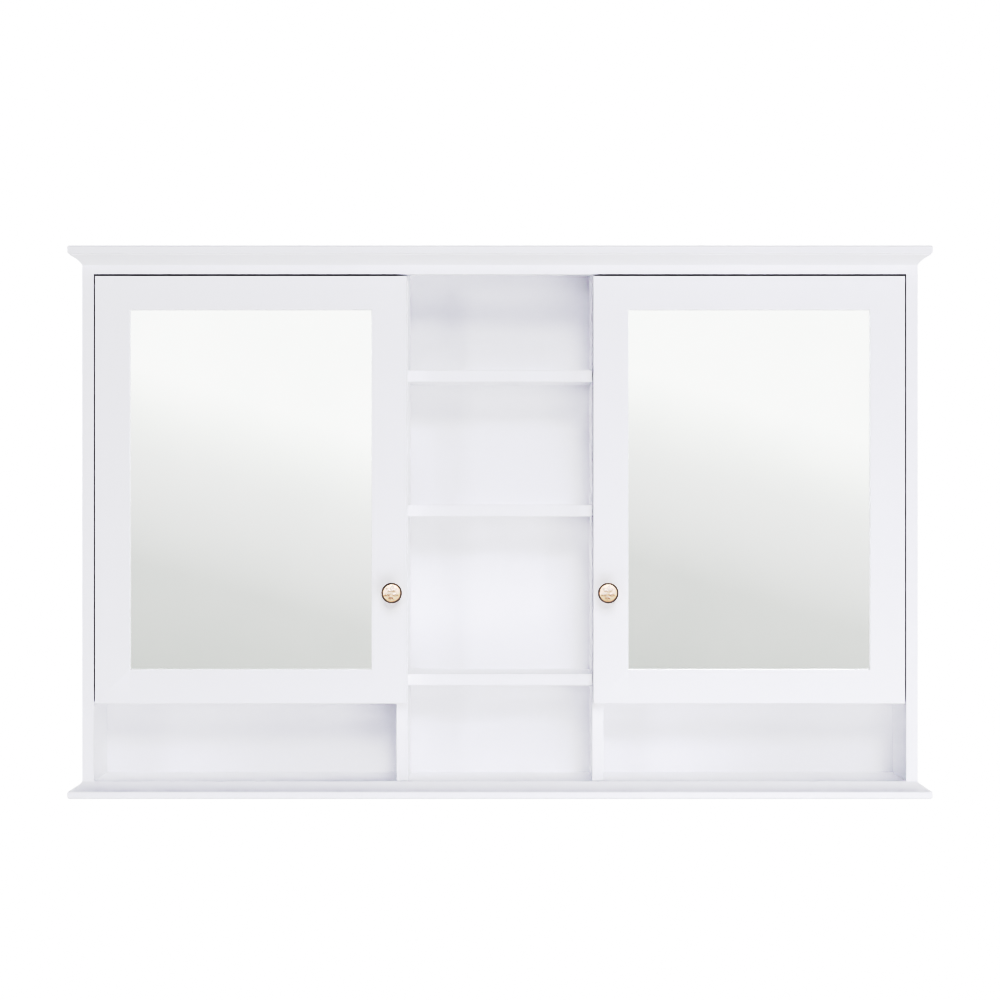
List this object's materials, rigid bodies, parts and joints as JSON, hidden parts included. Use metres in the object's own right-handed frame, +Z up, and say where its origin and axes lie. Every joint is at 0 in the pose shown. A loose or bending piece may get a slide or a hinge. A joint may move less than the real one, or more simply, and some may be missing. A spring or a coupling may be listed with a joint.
{
  "type": "hanging wall cabinet",
  "caption": "White wall cabinet with mirror doors on concealed hinges, an open shelf bay between them, open compartments below, and a moulded crown and base.",
  "frame": {"origin": "middle of the back panel's rear face, half way up, in the plane of the wall", "axes": "+X to the right of someone facing the cabinet, +Y into the wall, +Z up"},
  "size_m": [0.9, 0.153, 0.576],
  "materials": {
    "white_lacquer": "smooth white satin lacquer on fibreboard",
    "back_board": "white painted fibreboard, slightly duller than the front",
    "mirror_glass": "clear float glass, silvered on the back, ground edges",
    "hardboard": "bare brown hardboard",
    "nickel_steel": "nickel plated pressed steel",
    "zinc_plate": "zinc plated sheet steel",
    "knob_gold": "satin pale gold plate over a raised leaf",
    "knob_bronze": "dark bronze rim",
    "catch_plastic": "white moulded plastic"
  },
  "bodies": {
    "carcass": {"crown_slab": "white_lacquer", "cornice_front": "white_lacquer", "cornice_left": "white_lacquer", "cornice_right": "white_lacquer", "fascia_rail": "white_lacquer", "base_board": "white_lacquer", "back_panel": "back_board", "centre_shelf_top": "white_lacquer", "centre_shelf_middle": "white_lacquer", "centre_shelf_bottom": "white_lacquer", "side_panel_left": "white_lacquer", "divider_left": "white_lacquer", "cupboard_floor_left": "white_lacquer", "adjustable_shelf_left": "white_lacquer", "hanging_rail_left": "back_board", "hanger_plate_left": "zinc_plate", "shelf_pin_left_outer_front": "nickel_steel", "shelf_pin_left_outer_back": "nickel_steel", "shelf_pin_left_inner_front": "nickel_steel", "shelf_pin_left_inner_back": "nickel_steel", "catch_body_left": "catch_plastic", "hinge_arm_left_upper": "nickel_steel", "hinge_arm_left_lower": "nickel_steel", "side_panel_right": "white_lacquer", "divider_right": "white_lacquer", "cupboard_floor_right": "white_lacquer", "adjustable_shelf_right": "white_lacquer", "hanging_rail_right": "back_board", "hanger_plate_right": "zinc_plate", "shelf_pin_right_outer_front": "nickel_steel", "shelf_pin_right_outer_back": "nickel_steel", "shelf_pin_right_inner_front": "nickel_steel", "shelf_pin_right_inner_back": "nickel_steel", "catch_body_right": "catch_plastic", "hinge_arm_right_upper": "nickel_steel", "hinge_arm_right_lower": "nickel_steel"},
    "left_door": {"door_left_outer_stile": "white_lacquer", "door_left_inner_stile": "white_lacquer", "door_left_top_rail": "white_lacquer", "door_left_bottom_rail": "white_lacquer", "door_left_mirror": "mirror_glass", "door_left_backing": "hardboard", "knob_left": "knob_gold", "catch_strike_left": "zinc_plate", "hinge_cup_left_upper": "nickel_steel", "hinge_pin_left_upper": "nickel_steel", "hinge_cup_left_lower": "nickel_steel", "hinge_pin_left_lower": "nickel_steel"},
    "right_door": {"door_right_outer_stile": "white_lacquer", "door_right_inner_stile": "white_lacquer", "door_right_top_rail": "white_lacquer", "door_right_bottom_rail": "white_lacquer", "door_right_mirror": "mirror_glass", "door_right_backing": "hardboard", "knob_right": "knob_gold", "catch_strike_right": "zinc_plate", "hinge_cup_right_upper": "nickel_steel", "hinge_pin_right_upper": "nickel_steel", "hinge_cup_right_lower": "nickel_steel", "hinge_pin_right_lower": "nickel_steel"}
  },
  "joints": [
    {"name": "left_door_hinge", "type": "hinge", "parent": "carcass", "child": "left_door", "pos_m": [-0.4118, -0.127, 0], "axis": [0, 0, -1], "range_deg": [0, 95]},
    {"name": "right_door_hinge", "type": "hinge", "parent": "carcass", "child": "right_door", "pos_m": [0.4118, -0.127, 0], "axis": [0, 0, 1], "range_deg": [0, 95]}
  ]
}
